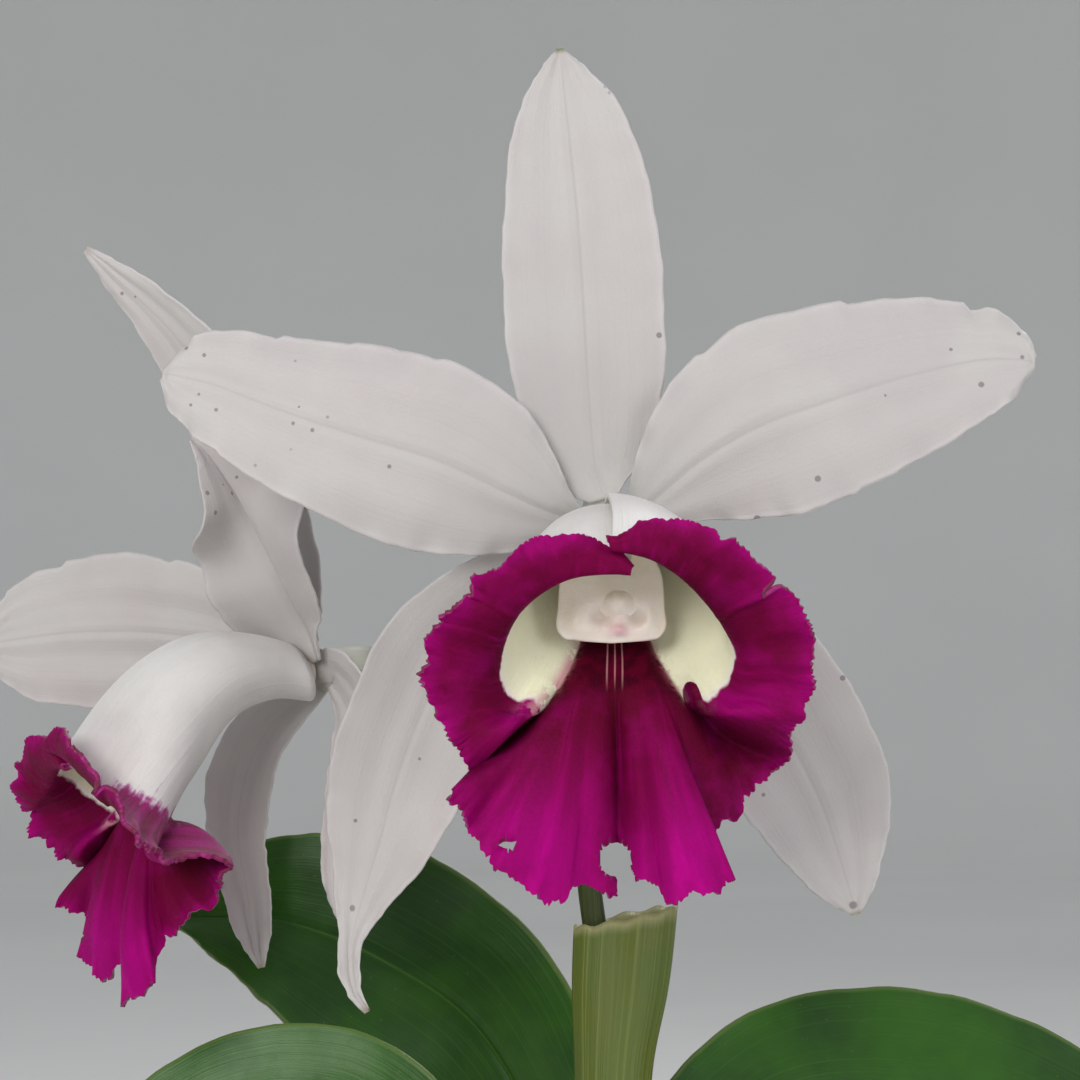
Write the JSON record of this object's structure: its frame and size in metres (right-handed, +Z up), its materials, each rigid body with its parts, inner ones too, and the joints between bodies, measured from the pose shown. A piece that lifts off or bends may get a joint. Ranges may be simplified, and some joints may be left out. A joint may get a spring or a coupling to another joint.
{
  "type": "cattleya orchid in a clay pot",
  "caption": "Flowering cattleya orchid: white blooms with a frilled magenta lip on a forked stalk, strap leaves on pseudobulbs, growing in bark in a plain clay pot.",
  "frame": {"origin": "middle of the pot's underside, on the surface that the pot stands on", "axes": "+Z up; the larger bloom and the front of the plant face -Y; +X is to the right as the larger bloom is seen"},
  "size_m": [0.1978, 0.1606, 0.379],
  "materials": {
    "clay": "matte, unglazed",
    "bark_brown": "rough",
    "bulb_green": "satin plant skin",
    "root_grey": "dry, spongy",
    "leaf_green": "waxy, glossy",
    "sheath_green": "satin plant skin",
    "stalk_olive": "satin plant skin",
    "petal_white": "soft, finely crystalline",
    "lip_magenta": "velvety",
    "column_pale": "waxy",
    "anther_cream": "waxy"
  },
  "bodies": {
    "root": {"pot": "clay", "potting_bark": "bark_brown", "pseudobulb_1": "bulb_green", "pseudobulb_2": "bulb_green", "pseudobulb_3": "bulb_green", "pseudobulb_4": "bulb_green", "root_1": "root_grey", "root_2": "root_grey", "root_3": "root_grey", "leaf_1": "leaf_green", "leaf_2": "leaf_green", "leaf_3": "leaf_green", "leaf_4": "leaf_green", "sheath": "sheath_green", "flower_stalk": "stalk_olive", "dorsal_sepal_1": "petal_white", "left_petal_1": "petal_white", "right_petal_1": "petal_white", "left_sepal_1": "petal_white", "right_sepal_1": "petal_white", "lip_1": "lip_magenta", "column_1": "column_pale", "anther_cap_1": "anther_cream", "dorsal_sepal_2": "petal_white", "near_petal_2": "petal_white", "far_petal_2": "petal_white", "near_sepal_2": "petal_white", "far_sepal_2": "petal_white", "lip_2": "lip_magenta", "column_2": "column_pale", "anther_cap_2": "anther_cream"}
  },
  "joints": []
}
